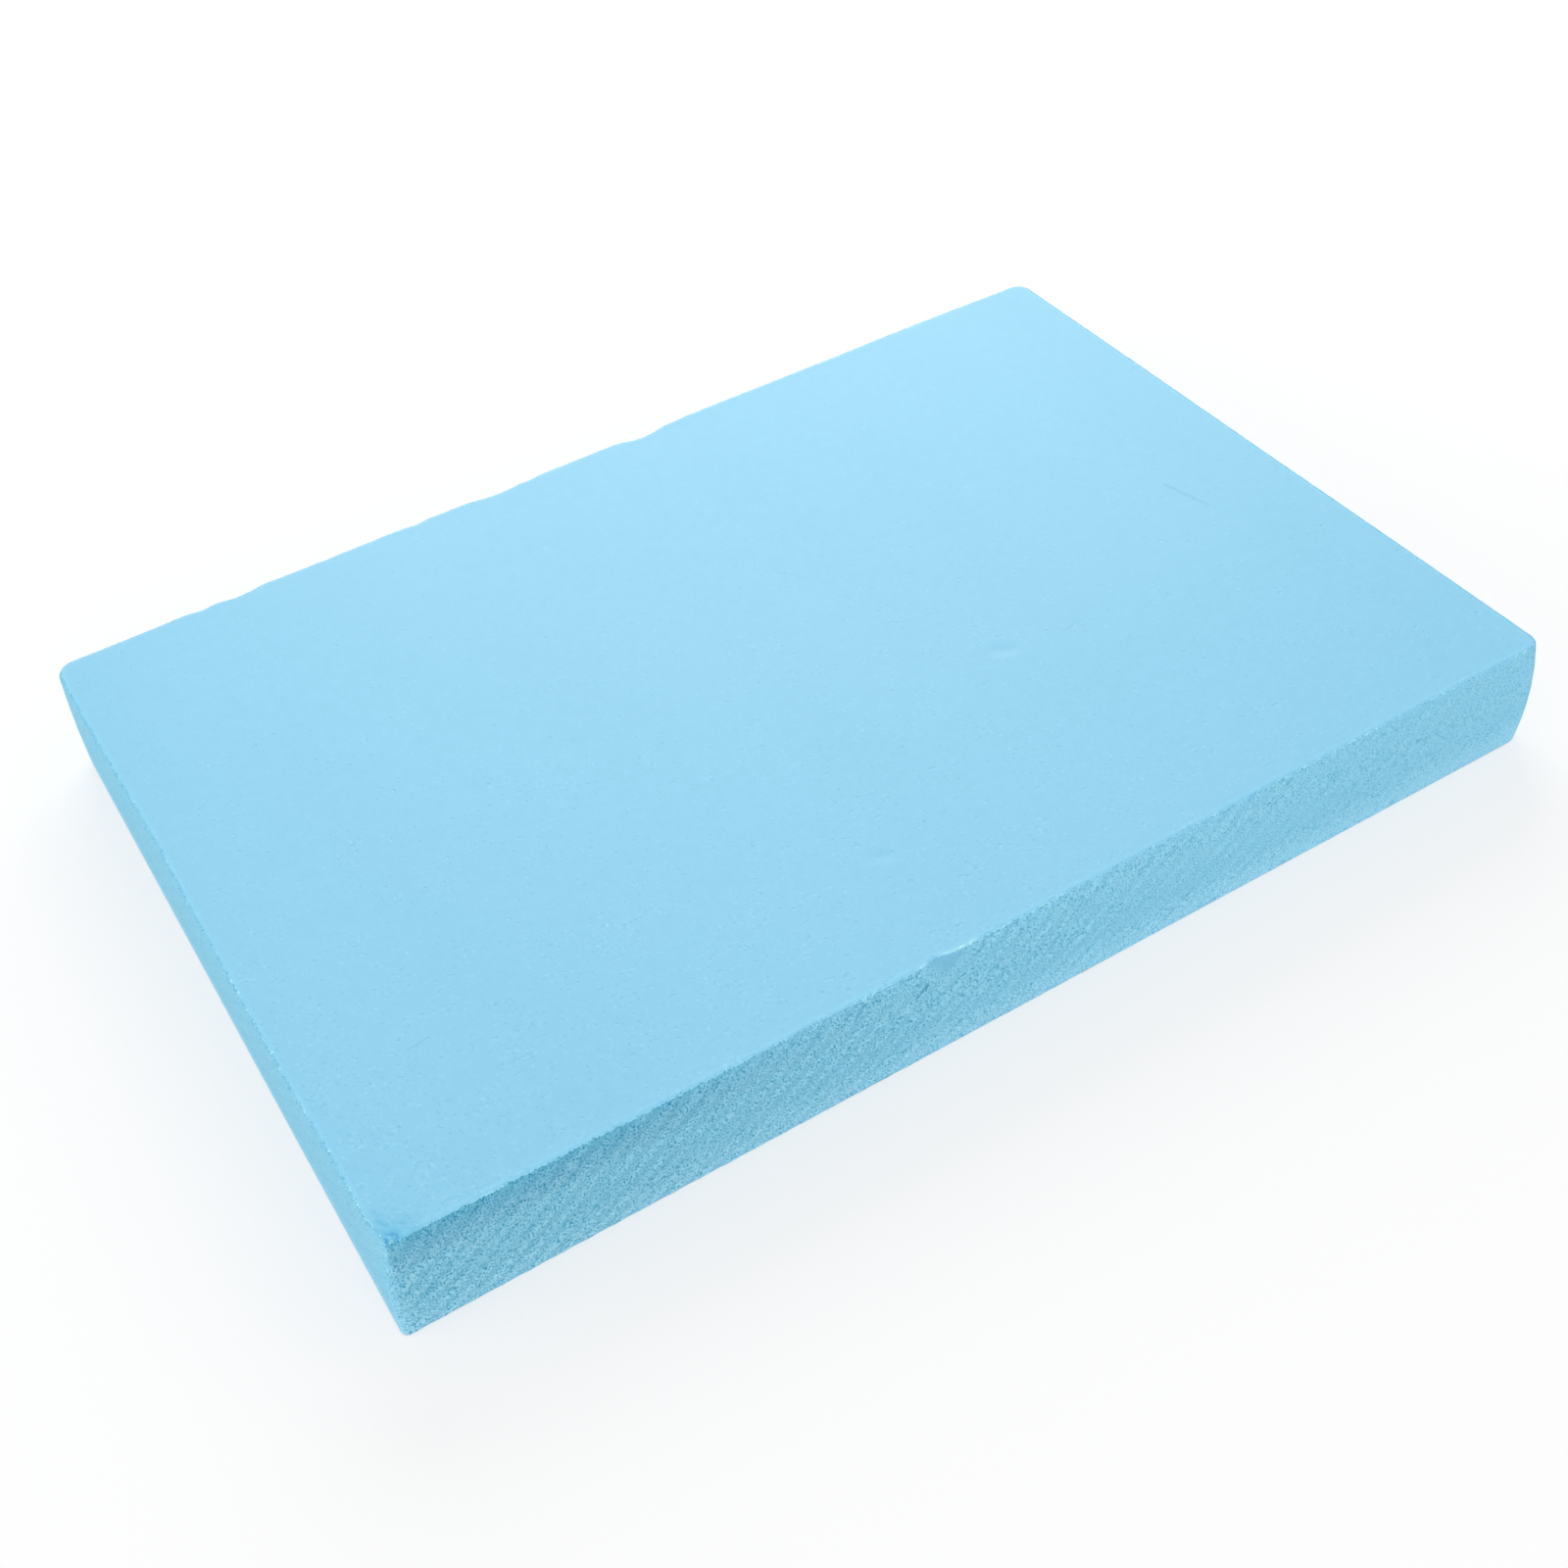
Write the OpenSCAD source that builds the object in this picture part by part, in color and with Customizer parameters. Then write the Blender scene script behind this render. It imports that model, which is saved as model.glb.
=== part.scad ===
// Foam block: one flat slab of fine-celled foam board, cut to size on all four sides.
// The top and the underside keep the board's own flat skin. The four sides follow a
// hand-guided cut: each swells a little at half height, leans, and wanders off its line,
// and the rims are rounded over and nicked.
// The origin is the middle of the underside, with X along the length and Z up.

/* [Slab] */
// Length along X, over the swell of both ends
slab_length = 300; // [150:1:600]
// Width along Y, over the swell of both long sides
slab_width = 208; // [100:1:400]
// Thickness along Z, from skin to skin
slab_thickness = 30; // [15:0.5:60]

/* [Corners] */
// Radius of the front left corner, seen from above
front_left_radius = 1.5; // [1:0.5:10]
// How much rounder the front left corner is at half height than at its ends
front_left_wear = 2; // [0:0.5:5]
// Radius of the front right corner, seen from above
front_right_radius = 4; // [1:0.5:10]
// Radius of the back right corner, seen from above
back_right_radius = 4; // [1:0.5:10]
// Radius of the back left corner, seen from above
back_left_radius = 5; // [1:0.5:10]

/* [Top rim] */
// Radius that rounds over the front's top rim
front_top_radius = 0.5; // [0.4:0.1:4]
// Radius that rounds over the right end's top rim
right_top_radius = 1.3; // [0.4:0.1:4]
// Radius that rounds over the back's top rim
back_top_radius = 1.2; // [0.4:0.1:4]
// Radius that rounds over the left end's top rim
left_top_radius = 0.9; // [0.4:0.1:4]

/* [Bottom rim] */
// Radius that rounds under the front
front_foot_radius = 0.4; // [0.4:0.1:4]
// Radius that rounds under the right end
right_foot_radius = 1.5; // [0.4:0.1:4]
// Radius that rounds under the back
back_foot_radius = 0.6; // [0.4:0.1:4]
// Radius that rounds under the left end
left_foot_radius = 0.6; // [0.4:0.1:4]

/* [Cut sides] */
// How far the front swells at half height
front_swell = 0.7; // [0:0.1:3]
// How far the right end swells at half height
right_swell = 1.3; // [0:0.1:3]
// How far the back swells at half height
back_swell = 0.6; // [0:0.1:3]
// How far the left end swells at half height
left_swell = 0.3; // [0:0.1:3]
// How much further out the left end stands at its foot than at its top rim
left_lean = 1.0; // [0:0.1:4]
// Share of the cut's wander that is kept, where 0 is a straight cut
wander_share = 1; // [0:0.1:2]

/* [Nicks] */
// Share of the depth of the nicks in the top rim that is kept
nick_share = 1; // [0:0.1:2]

/* [Hidden] */
foam_colour = [0.59, 0.83, 0.94];

// The sides are numbered counter-clockwise from above: front, right, back, left.
FRONT = 0;
RIGHT = 1;
BACK = 2;
LEFT = 3;

// Outward wander of the top rim at even steps along each side, in the same order.
top_wander = [
    [-0.3, 0.0, 0.2, 0.2, 0.25, 0.25, 0.1, 0.0, -0.2, -0.4, -0.3],
    [0.65, 0.65, 0.45, 0.4, 0.2],
    [0.05, 0.45, 0.65, 0.5, 0.5, 0.6, 0.45, 0.25, 0.25, 0.35, 0.35, 0.2, 0.6, 0.1, 0.0],
    [0.2, 0.3, -0.1, -0.3, 0.0, 0.1, 0.1, -0.3, -0.1]
];
// The foot of each side was cut against a straight edge, so it hardly wanders.
foot_wander = [
    [-0.2, -0.2, -0.1, -0.1, -0.05],
    [0.0, 0.0],
    [0.1, 0.0, 0.1],
    [-0.3, 0.05]
];
swell = [front_swell, right_swell, back_swell, left_swell];
lean = [0, 0, 0, left_lean];

// Nicks in the top rim of each side: where the middle lies as a share of half the side,
// from -1 to 1 along X or Y, then the depth, half the width and the reach down the side.
nicks = [
    [[-0.15, 0.8, 5, 6]],
    [],
    [[-0.735, 0.85, 5, 7], [-0.67, 1.2, 9, 12], [-0.33, 0.5, 4, 5], [-0.165, 1.15, 11.5, 14],
        [-0.1, 0.45, 4, 5], [0.13, 1.8, 10, 16], [0.195, 0.35, 5, 6]],
    [[-1, 1.2, 10, 15]]
];

// Steps along each side, round each corner, up each side and over each rim.
side_steps = [50, 12, 75, 32];
corner_steps = 6;
height_steps = 8;
rim_steps = 3;
// A corner keeps this much radius where a rim's inset would use it up.
least_radius = 0.2;

half_length = slab_length / 2 - (left_swell + right_swell) / 2;
half_width = slab_width / 2 - (front_swell + back_swell) / 2;
corner_radius = [front_left_radius, front_right_radius, back_right_radius, back_left_radius];
corner_wear = [front_left_wear, 0, 0, 0];
top_radius = [front_top_radius, right_top_radius, back_top_radius, left_top_radius];
foot_radius = [front_foot_radius, right_foot_radius, back_foot_radius, left_foot_radius];

// A smooth hump of height 1 that falls to 0 at a distance of 1.
function hump(distance) = abs(distance) >= 1 ? 0 : (1 + cos(180 * distance)) / 2;

// A smooth curve through evenly spaced values, read at a place from 0 to 1.
function along_curve(values, place) =
    let (
        last = len(values) - 1,
        i = min(floor(place * last), last - 1),
        f = place * last - i,
        before = values[max(i - 1, 0)],
        here = values[i],
        next = values[i + 1],
        after = values[min(i + 2, last)]
    )
    here + f * (next - before) / 2
        + f * f * (before - 2.5 * here + 2 * next - after / 2)
        + f * f * f * (1.5 * here - before / 2 - 1.5 * next + after / 2);

// How deep the nicks of a side are at a distance from its middle and a drop below the top.
function nick_depth(side, along, drop) =
    let (half = side == FRONT || side == BACK ? half_length : half_width)
    nick_share * sum_of([
        for (nick = nicks[side])
            nick[1] * hump((along - nick[0] * half) / nick[2]) * hump(drop / nick[3])
    ]);

function sum_of(list, i = 0) = i >= len(list) ? 0 : list[i] + sum_of(list, i + 1);

// How far a side stands outside its nominal line, at a place from 0 to 1 along it,
// a distance from its middle and a height.
function stand_out(side, place, along, height) =
    let (rise = height / slab_thickness)
    wander_share * rise * along_curve(top_wander[side], place)
        + wander_share * (1 - rise) * along_curve(foot_wander[side], place)
        + swell[side] * 4 * rise * (1 - rise)
        + lean[side] * (0.5 - rise)
        - nick_depth(side, along, slab_thickness - height);

// The outward directions of the sides, and which way each one is walked.
outward = [[0, -1], [1, 0], [0, 1], [-1, 0]];
onward = [[1, 0], [0, 1], [-1, 0], [0, -1]];
half_span = [half_length, half_width, half_length, half_width];
half_reach = [half_width, half_length, half_width, half_length];

// Corner k lies between the end of side k - 1 and the start of side k.
function corner_centre(k, inset, radius, height) =
    let (
        before = (k + 3) % 4,
        out_before = stand_out(before, 1, half_span[before] * side_sense(before), height),
        out_here = stand_out(k, 0, -half_span[k] * side_sense(k), height)
    )
    outward[before] * (half_reach[before] + out_before - inset - radius)
        + outward[k] * (half_reach[k] + out_here - inset - radius);

// 1 where a side is walked toward +X or +Y, and -1 where it is walked back.
function side_sense(side) = side == FRONT || side == RIGHT ? 1 : -1;

// Each point of a corner's arc has a level of its own, because the rims' radii change there
// from those of one side to those of the next.
function corner_arc(k, row) =
    [
        for (i = [0 : corner_steps])
            let (
                share = i / corner_steps,
                level = level_at(row, blend(foot_radius, k, share), blend(top_radius, k, share)),
                radius = max(radius_at(k, level[0]) - level[1], least_radius),
                angle = 180 + 90 * k + 90 * share,
                point = corner_centre(k, level[1], radius, level[0])
                    + radius * [cos(angle), sin(angle)]
            )
            [point[0], point[1], level[0]]
    ];

// A corner's radius at a height, before the rims' inset is taken off.
function radius_at(k, height) =
    let (rise = height / slab_thickness)
    corner_radius[k] + corner_wear[k] * 4 * rise * (1 - rise);

// A smooth change from the value of side k - 1 to that of side k.
function blend(values, k, share) =
    let (before = values[(k + 3) % 4])
    before + (values[k] - before) * share * share * (3 - 2 * share);

// The points of a side between two corners, which it meets but doesn't repeat.
function side_points(k, from, to, row) =
    let (steps = side_steps[k], level = level_at(row, foot_radius[k], top_radius[k]))
    [
        for (i = [1 : steps - 1])
            let (
                place = i / steps,
                walked = (from + (to - from) * place) * onward[k],
                along = walked * side_sense(k),
                out = half_reach[k] + stand_out(k, place, along, level[0]) - level[1],
                point = onward[k] * walked + outward[k] * out
            )
            [point[0], point[1], level[0]]
    ];

// A row's height, and the inset that rounds the rim there: a quarter circle under the foot,
// even steps up the wall, and a quarter circle over the top.
function level_at(row, foot, top) =
    row < rim_steps ? quarter_circle(foot, 90 * row / rim_steps)
    : row > last_row - rim_steps
        ? let (drop = quarter_circle(top, 90 * (last_row - row) / rim_steps))
            [slab_thickness - drop[0], drop[1]]
    : [foot + (slab_thickness - foot - top) * (row - rim_steps) / height_steps, 0];

function quarter_circle(radius, angle) = [radius * (1 - cos(angle)), radius * (1 - sin(angle))];

// One closed row of points round the slab.
function outline(row) =
    let (arcs = [for (k = [0 : 3]) corner_arc(k, row)])
    [
        for (k = [0 : 3])
            let (from = flat(arcs[k][corner_steps]), to = flat(arcs[(k + 1) % 4][0]))
            each concat(arcs[k], side_points(k, from, to, row))
    ];

function flat(point) = [point[0], point[1]];

last_row = 2 * rim_steps + height_steps;
rings = [for (row = [0 : last_row]) outline(row)];

// The middle of the widest extents, which the origin is set under.
function middle_of(values) = (min(values) + max(values)) / 2;
middle = [for (axis = [0, 1]) middle_of([for (ring = rings) for (p = ring) p[axis]])];

// A closed skin over a stack of rings with as many points each. Each end is a flat fan of
// triangles round its middle.
module loft(rings) {
    count = len(rings[0]);
    top = len(rings) - 1;
    underside_hub = count * (top + 1);
    top_hub = underside_hub + 1;
    points = concat(
        [for (ring = rings) for (p = ring) [p[0] - middle[0], p[1] - middle[1], p[2]]],
        [[0, 0, 0], [0, 0, slab_thickness]]
    );
    walls = [
        for (k = [0 : top - 1])
            for (i = [0 : count - 1])
                let (j = (i + 1) % count, here = k * count, above = (k + 1) * count)
                each [[here + i, above + j, here + j], [here + i, above + i, above + j]]
    ];
    underside = [for (i = [0 : count - 1]) [underside_hub, i, (i + 1) % count]];
    skin = [for (i = [0 : count - 1]) [top_hub, top * count + (i + 1) % count, top * count + i]];
    polyhedron(points, concat(underside, walls, skin), convexity = 4);
}

module foam_block() {
    color(foam_colour) loft(rings);
}

foam_block();
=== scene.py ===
import math

import bpy
import numpy as np
from mathutils import Matrix, Vector


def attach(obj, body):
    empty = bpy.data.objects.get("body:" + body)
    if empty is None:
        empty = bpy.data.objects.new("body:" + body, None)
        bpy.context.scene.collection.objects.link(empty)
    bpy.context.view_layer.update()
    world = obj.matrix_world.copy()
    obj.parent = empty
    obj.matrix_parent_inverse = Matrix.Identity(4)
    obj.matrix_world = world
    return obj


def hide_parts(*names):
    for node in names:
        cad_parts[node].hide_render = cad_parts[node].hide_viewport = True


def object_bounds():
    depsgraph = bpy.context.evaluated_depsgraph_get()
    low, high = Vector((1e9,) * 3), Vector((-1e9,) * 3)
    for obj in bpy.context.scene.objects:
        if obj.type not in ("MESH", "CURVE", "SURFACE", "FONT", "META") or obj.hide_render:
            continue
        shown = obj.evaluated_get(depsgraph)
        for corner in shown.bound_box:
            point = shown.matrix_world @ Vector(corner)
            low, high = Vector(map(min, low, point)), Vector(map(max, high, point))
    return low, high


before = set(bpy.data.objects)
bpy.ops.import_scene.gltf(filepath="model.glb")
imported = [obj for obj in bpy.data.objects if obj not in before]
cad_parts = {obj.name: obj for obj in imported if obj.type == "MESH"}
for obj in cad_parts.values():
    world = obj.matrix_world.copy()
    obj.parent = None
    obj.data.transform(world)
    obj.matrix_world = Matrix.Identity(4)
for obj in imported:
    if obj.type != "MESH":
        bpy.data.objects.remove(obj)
cadLow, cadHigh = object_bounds()
mm = 0.001

# Lengths are in millimetres. The sides are numbered front, right, back and left, and each is
# walked with the slab on its left hand, so a ring runs counter-clockwise seen from above.
slab = {
    # how far the top rim and the foot of each side wander outwards, at even steps
    "topWander": (
        (-0.3, 0.0, 0.2, 0.2, 0.25, 0.25, 0.1, 0.0, -0.2, -0.4, -0.3),
        (0.65, 0.65, 0.45, 0.4, 0.2),
        (0.05, 0.45, 0.65, 0.5, 0.5, 0.6, 0.45, 0.25, 0.25, 0.35, 0.35, 0.2, 0.6, 0.1, 0.0),
        (0.2, 0.3, -0.1, -0.3, 0.0, 0.1, 0.1, -0.3, -0.1),
    ),
    "footWander": ((-0.2, -0.2, -0.1, -0.1, -0.05), (0.0, 0.0), (0.1, 0.0, 0.1), (-0.3, 0.05)),
    "swell": (0.7, 1.3, 0.6, 0.3),     # how far each side swells at half height
    "lean": (0.0, 0.0, 0.0, 1.0),      # how much further out a side stands at its foot
    # nicks in the top rim: place as a share of half the side, depth, half width, reach down
    "nicks": (
        ((-0.15, 0.8, 5, 6),),
        (),
        ((-0.735, 0.85, 5, 7), (-0.67, 1.2, 9, 12), (-0.33, 0.5, 4, 5), (-0.165, 1.15, 11.5, 14),
         (-0.1, 0.45, 4, 5), (0.13, 1.8, 10, 16), (0.195, 0.35, 5, 6)),
        ((-1, 1.2, 10, 15),),
    ),
    "cornerRadius": (1.5, 4, 4, 5),    # front left, front right, back right, back left
    "cornerWear": (2, 0, 0, 0),        # how much rounder each corner is at half height
    "leastRadius": 0.2,                # what a corner keeps where a rim's inset uses it up
    "topRim": (0.5, 1.3, 1.2, 0.9),    # radius over the top rim of each side
    "footRim": (0.4, 1.5, 0.6, 0.6),   # radius under the foot of each side
    # steps of the mesh, finest along the front, whose cut is the coarsest
    "sideSteps": (600, 204, 300, 250),
    "cornerSteps": 8,
    "rimSteps": 5,
    "footSteps": 3,
    "wallSteps": 34,
    "wallCrowding": 1.3,               # above 1, the rows crowd together toward the top rim
    "flatStrip": 0.25,                 # the flat row past the rims' rounding
    "skinInset": 2.4,                  # from the sides to the skin's own grid
    "topCells": (212, 146),            # of the grids, across and up
    "underCells": (52, 36),
}

# What the saw and handling left on the slab
wear = {
    "grooveSpacing": 4.23,             # across the grooves
    "grooveAngle": 130,                # of the line across the grooves, in degrees from +X
    "groovePhase": 30,                 # in degrees, where X is 0 at half height
    "grooveWaver": 0.45,               # in radians
    "grooveDepth": 0.12,
    "grooveFade": 1.9,                 # power of the coarseness that their depth follows
    "unevenness": 0.02,                # of the cut, at a couple of millimetres
    "coarseness": (0.745, -0.0023, 0.38, 1.0),  # along the front: in the middle, slope, limits
    "restCoarseness": 0.4,             # on the other three sides
    "scoopSmooths": 0.75,              # share of the coarseness that the scoop takes away
    "cornerSmooths": (0.3, 4),         # and the front left corner, and how far it reaches
    "rimCrumble": 0.10,                # how raggedly the skin's edge broke
    "rimBites": 0.22,                  # depth of the small bites out of it
    "rimReach": 0.9,                   # how far down both fade away
    "skinWaves": 0.05,                 # of the board's own skin
    # soft dents in the top: place, direction in degrees, half length, half width, depth
    "dents": (
        (45.5, -31.0, -35, 5.5, 2.6, 0.28),
        (-16.2, -72.3, -38, 4.5, 2.4, 0.25),
        (120.2, -9.5, -76, 7.0, 1.5, 0.14),
        (-147.0, 32.0, 80, 3.0, 2.0, 0.2),
    ),
    # the raised lip round a dent: share of its depth, then place and half width in half sizes
    "dentLip": (0.15, 1.15, 0.5),
    # where the skin was pressed in under the front rim: place, half width, reach down
    "scoop": (-20.5, 7.5, 8.5),
    # slivers of skin that stand up at the front rim: from, to, height
    "slivers": ((-28.6, -24.9, 0.35), (-22.8, -11.6, 0.42)),
}


def hump(distance):
    # Half a cosine wave: 1 at distance 0, falling to 0 at 1 and staying there
    return np.where(np.abs(distance) < 1, 0.5 + 0.5 * np.cos(np.pi * np.clip(distance, -1, 1)), 0)


def smoothStep(low, high, value):
    # 3t^2 - 2t^3 of how far the value has come from low to high
    t = np.clip((value - low) / (high - low), 0, 1)
    return t * t * (3 - 2 * t)


def alongCurve(values, place):
    # Catmull-Rom curve through evenly spaced values, read at a place from 0 to 1
    values = np.asarray(values, float)
    last = len(values) - 1
    i = np.clip(np.floor(place * last).astype(int), 0, last - 1)
    f = place * last - i
    before, here = values[np.maximum(i - 1, 0)], values[i]
    ahead, after = values[i + 1], values[np.minimum(i + 2, last)]
    return (here + f * (ahead - before) / 2
            + f ** 2 * (before - 2.5 * here + 2 * ahead - after / 2)
            + f ** 3 * (1.5 * here - before / 2 - 1.5 * ahead + after / 2))


def softNoise(points, cell, seed):
    # Value noise in space: seeded random values from -1 to 1 on a cubic lattice of the given
    # cell, blended between the eight nearest with the smooth step 3t^2 - 2t^3
    size, farOff = 64, 1000            # of the lattice, and a shift that keeps its numbers above 0
    lattice = np.random.default_rng(seed).uniform(-1, 1, (size, size, size))
    scaled = np.asarray(points) / cell + farOff
    base = np.floor(scaled).astype(int)
    t = scaled - base
    t = t * t * (3 - 2 * t)
    total = 0
    for corner in range(8):
        step = np.array([corner & 1, corner >> 1 & 1, corner >> 2 & 1])
        share = np.prod(np.where(step, t, 1 - t), axis=-1)
        total = total + share * lattice[tuple(np.moveaxis((base + step) % size, -1, 0))]
    return total


# The outline, worked out as the CAD solid's is

thickness = (cadHigh.z - cadLow.z) / mm
outward = np.array([[0, -1], [1, 0], [0, 1], [-1, 0]], float)
onward = np.array([[1, 0], [0, 1], [-1, 0], [0, -1]], float)
sense = (1, 1, -1, -1)                 # whether a side is walked toward + or - of its axis


def nickDepth(side, along, half, drop):
    # Sum of each nick's depth times a hump along the side times a hump down from the top
    depth = 0
    for place, deep, halfWidth, reach in slab["nicks"][side]:
        depth = depth + deep * hump((along - place * half) / halfWidth) * hump(drop / reach)
    return depth


def standOut(side, place, along, half, height):
    # Wander blended from foot to top, plus swell 4r(1 - r) and lean (1/2 - r), less the nicks,
    # where r is the height as a share of the thickness
    rise = height / thickness
    return (rise * alongCurve(slab["topWander"][side], place)
            + (1 - rise) * alongCurve(slab["footWander"][side], place)
            + slab["swell"][side] * 4 * rise * (1 - rise)
            + slab["lean"][side] * (0.5 - rise)
            - nickDepth(side, along, half, thickness - height))


def widest(side, half):
    # The furthest that a side stands out anywhere, tried at many places and heights
    places, heights = 401, 121
    place, height = np.meshgrid(np.linspace(0, 1, places), np.linspace(0, thickness, heights))
    return standOut(side, place, (2 * place - 1) * half * sense[side], half, height).max()


boxHalf = [(cadHigh.x - cadLow.x) / mm / 2, (cadHigh.y - cadLow.y) / mm / 2]
halfLength = boxHalf[0] - (widest(1, boxHalf[1]) + widest(3, boxHalf[1])) / 2
halfWidth = boxHalf[1] - (widest(0, boxHalf[0]) + widest(2, boxHalf[0])) / 2
halfSpan = (halfLength, halfWidth, halfLength, halfWidth)
halfReach = (halfWidth, halfLength, halfWidth, halfLength)
middle = np.array([(widest(1, halfWidth) - widest(3, halfWidth)) / 2,
                   (widest(2, halfLength) - widest(0, halfLength)) / 2])
cornerSteps = slab["cornerSteps"]
print("slab: nominal half sizes", round(halfLength, 3), round(halfWidth, 3))


def ringOutline(sideSteps, height, inset):
    # Rows of closed outlines. height and inset hold one value for each row and ring point.
    # Corner k is an arc between side k - 1 and side k, and side k's points follow it.
    starts = np.cumsum([0, *sideSteps]) + cornerSteps * np.arange(5)
    turn = np.arange(cornerSteps + 1) / cornerSteps
    arcs = []
    for k in range(4):
        span = slice(starts[k], starts[k] + cornerSteps + 1)
        h, d = height[:, span], inset[:, span]
        before = (k + 3) % 4
        outBefore = standOut(before, np.ones(1), halfSpan[before] * sense[before],
                             halfSpan[before], h)
        outHere = standOut(k, np.zeros(1), -halfSpan[k] * sense[k], halfSpan[k], h)
        worn = slab["cornerWear"][k] * 4 * h / thickness * (1 - h / thickness)
        radius = np.maximum(slab["cornerRadius"][k] + worn - d, slab["leastRadius"])
        angle = np.radians(180 + 90 * k + 90 * turn)
        centre = (outward[before] * (halfReach[before] + outBefore - d - radius)[..., None]
                  + outward[k] * (halfReach[k] + outHere - d - radius)[..., None])
        arcs.append(centre + radius[..., None] * np.stack([np.cos(angle), np.sin(angle)], -1))
    rows = []
    for k in range(4):
        place = np.arange(1, sideSteps[k]) / sideSteps[k]
        inner = slice(starts[k] + cornerSteps + 1, starts[k + 1])
        h, d = height[:, inner], inset[:, inner]
        begin = arcs[k][:, -1] @ onward[k]
        end = arcs[(k + 1) % 4][:, 0] @ onward[k]
        walked = begin[:, None] + (end - begin)[:, None] * place
        out = halfReach[k] + standOut(k, place, walked * sense[k], halfSpan[k], h) - d
        rows += [arcs[k], onward[k] * walked[..., None] + outward[k] * out[..., None]]
    return np.concatenate(rows, axis=1) - middle


def ringValues(sideSteps, perSide):
    # One value for each ring point: constant along a side, blended round each corner
    turn = smoothStep(0, 1, np.linspace(0, 1, cornerSteps + 1))
    values = []
    for k in range(4):
        values.append(perSide[k - 1] + (perSide[k] - perSide[k - 1]) * turn)
        values.append(np.full(sideSteps[k] - 1, perSide[k], float))
    return np.concatenate(values)


def fromCorner(values, axis=0):
    # Turns a ring to start at the middle of the front left corner
    return np.roll(values, -(cornerSteps // 2), axis=axis)


# The wall, from the foot's ring on the floor up to the skin's edge

def wallRows(footRadius, rimRadius):
    # Heights and insets of the rows: a quarter circle under the foot, steps up the wall that
    # crowd toward the top as 1 - (1 - t)^n, a quarter circle over the rim, and a flat strip.
    # Both radii change round the ring
    angle = np.linspace(0, np.pi / 2, slab["footSteps"] + 1)[:, None]
    heights = [footRadius * (1 - np.cos(angle))]
    insets = [footRadius * (1 - np.sin(angle))]
    t = np.arange(1, slab["wallSteps"])[:, None] / slab["wallSteps"]
    share = 1 - (1 - t) ** slab["wallCrowding"]
    heights.append(footRadius + (thickness - rimRadius - footRadius) * share)
    insets.append(0 * heights[-1])
    angle = np.linspace(np.pi / 2, 0, slab["rimSteps"] + 1)[:, None]
    heights.append(thickness - rimRadius * (1 - np.cos(angle)))
    insets.append(rimRadius * (1 - np.sin(angle)))
    heights.append(thickness + 0 * insets[-1][-1:])
    insets.append(insets[-1][-1:] + slab["flatStrip"])
    return np.concatenate(heights), np.concatenate(insets)


wallSteps = slab["sideSteps"]
ringCount = sum(wallSteps) + 4 * cornerSteps
wallHeight, wallInset = wallRows(ringValues(wallSteps, slab["footRim"]),
                                 ringValues(wallSteps, slab["topRim"]))
plan = ringOutline(wallSteps, wallHeight, wallInset)
wall = np.concatenate([plan, wallHeight[..., None]], axis=-1)
wallX = wall[..., 0]
drop = thickness - wallHeight
isFront = ringValues(wallSteps, (1, 0, 0, 0))
cutFront = smoothStep(0, 0.6, isFront)  # the front's cut, which reaches round its corners


def wallDirections():
    # The way out of the surface at each point, as the cross product of the differences along
    # the ring and up the rows, and the level way out. The end rows lie flat
    around = np.roll(wall, -1, axis=1) - np.roll(wall, 1, axis=1)
    normal = np.cross(around, np.gradient(wall, axis=0))
    normal = normal / np.linalg.norm(normal, axis=-1, keepdims=True)
    normal[0], normal[-1] = (0, 0, -1), (0, 0, 1)
    level = normal * (1, 1, 0)
    level = level / np.maximum(np.linalg.norm(level, axis=-1, keepdims=True), 1e-6)
    level[0], level[-1] = level[1], level[-2]
    return normal, level


def fromSkinEdge():
    # Distance from the skin's edge, measured over the rows: below 0 on the wall, above 0 on
    # the skin
    steps = np.linalg.norm(np.diff(wall[::-1], axis=0, prepend=wall[-1:]), axis=-1)
    return slab["flatStrip"] - steps.cumsum(0)[::-1]


def pressedScoop():
    # A hump along the front times a hump down from the rim, with soft noise on its outline
    place, halfWidth, reach = wear["scoop"]
    shape = hump((wallX - place) / halfWidth) * hump(drop / reach)
    return isFront * smoothStep(0.05, 0.75, shape + 0.12 * softNoise(wall, cell=2.5, seed=14))


def howCoarse(scoop):
    # A straight line along the front, kept between limits, and one value on the other sides.
    # It is less in the scoop, and where the front left corner wore smooth
    inMiddle, slope, least, most = wear["coarseness"]
    onFront = np.clip(inMiddle + slope * wallX, least, most)
    coarse = cutFront * onFront + (1 - cutFront) * wear["restCoarseness"]
    share, reach = wear["cornerSmooths"]
    worn = isFront * hump((wallX + boxHalf[0]) / reach)
    return coarse * (1 - wear["scoopSmooths"] * scoop) * (1 - share * worn)


def slantedGrooves(coarse):
    # A cosine of the distance across them, from how far round the foot's ring the place is,
    # walked from the middle of the front, and how far up. Soft noise makes them waver. They
    # are deeper in some places, and die away where the cut is fine
    walk = np.linalg.norm(np.diff(plan[0], axis=0, prepend=plan[0][-1:]), axis=-1).cumsum()
    walk = walk - np.interp(0, wallX[0, :wallSteps[0]], walk[:wallSteps[0]])
    turn = math.radians(wear["grooveAngle"])
    across = walk * math.cos(turn) + (wallHeight - thickness / 2) * math.sin(turn)
    groove = np.cos(2 * np.pi * across / wear["grooveSpacing"]
                    + wear["grooveWaver"] * softNoise(wall, cell=13, seed=3)
                    + math.radians(wear["groovePhase"]))
    return groove * coarse ** wear["grooveFade"] * (0.86 + 0.6 * softNoise(wall, cell=6, seed=13))


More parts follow.
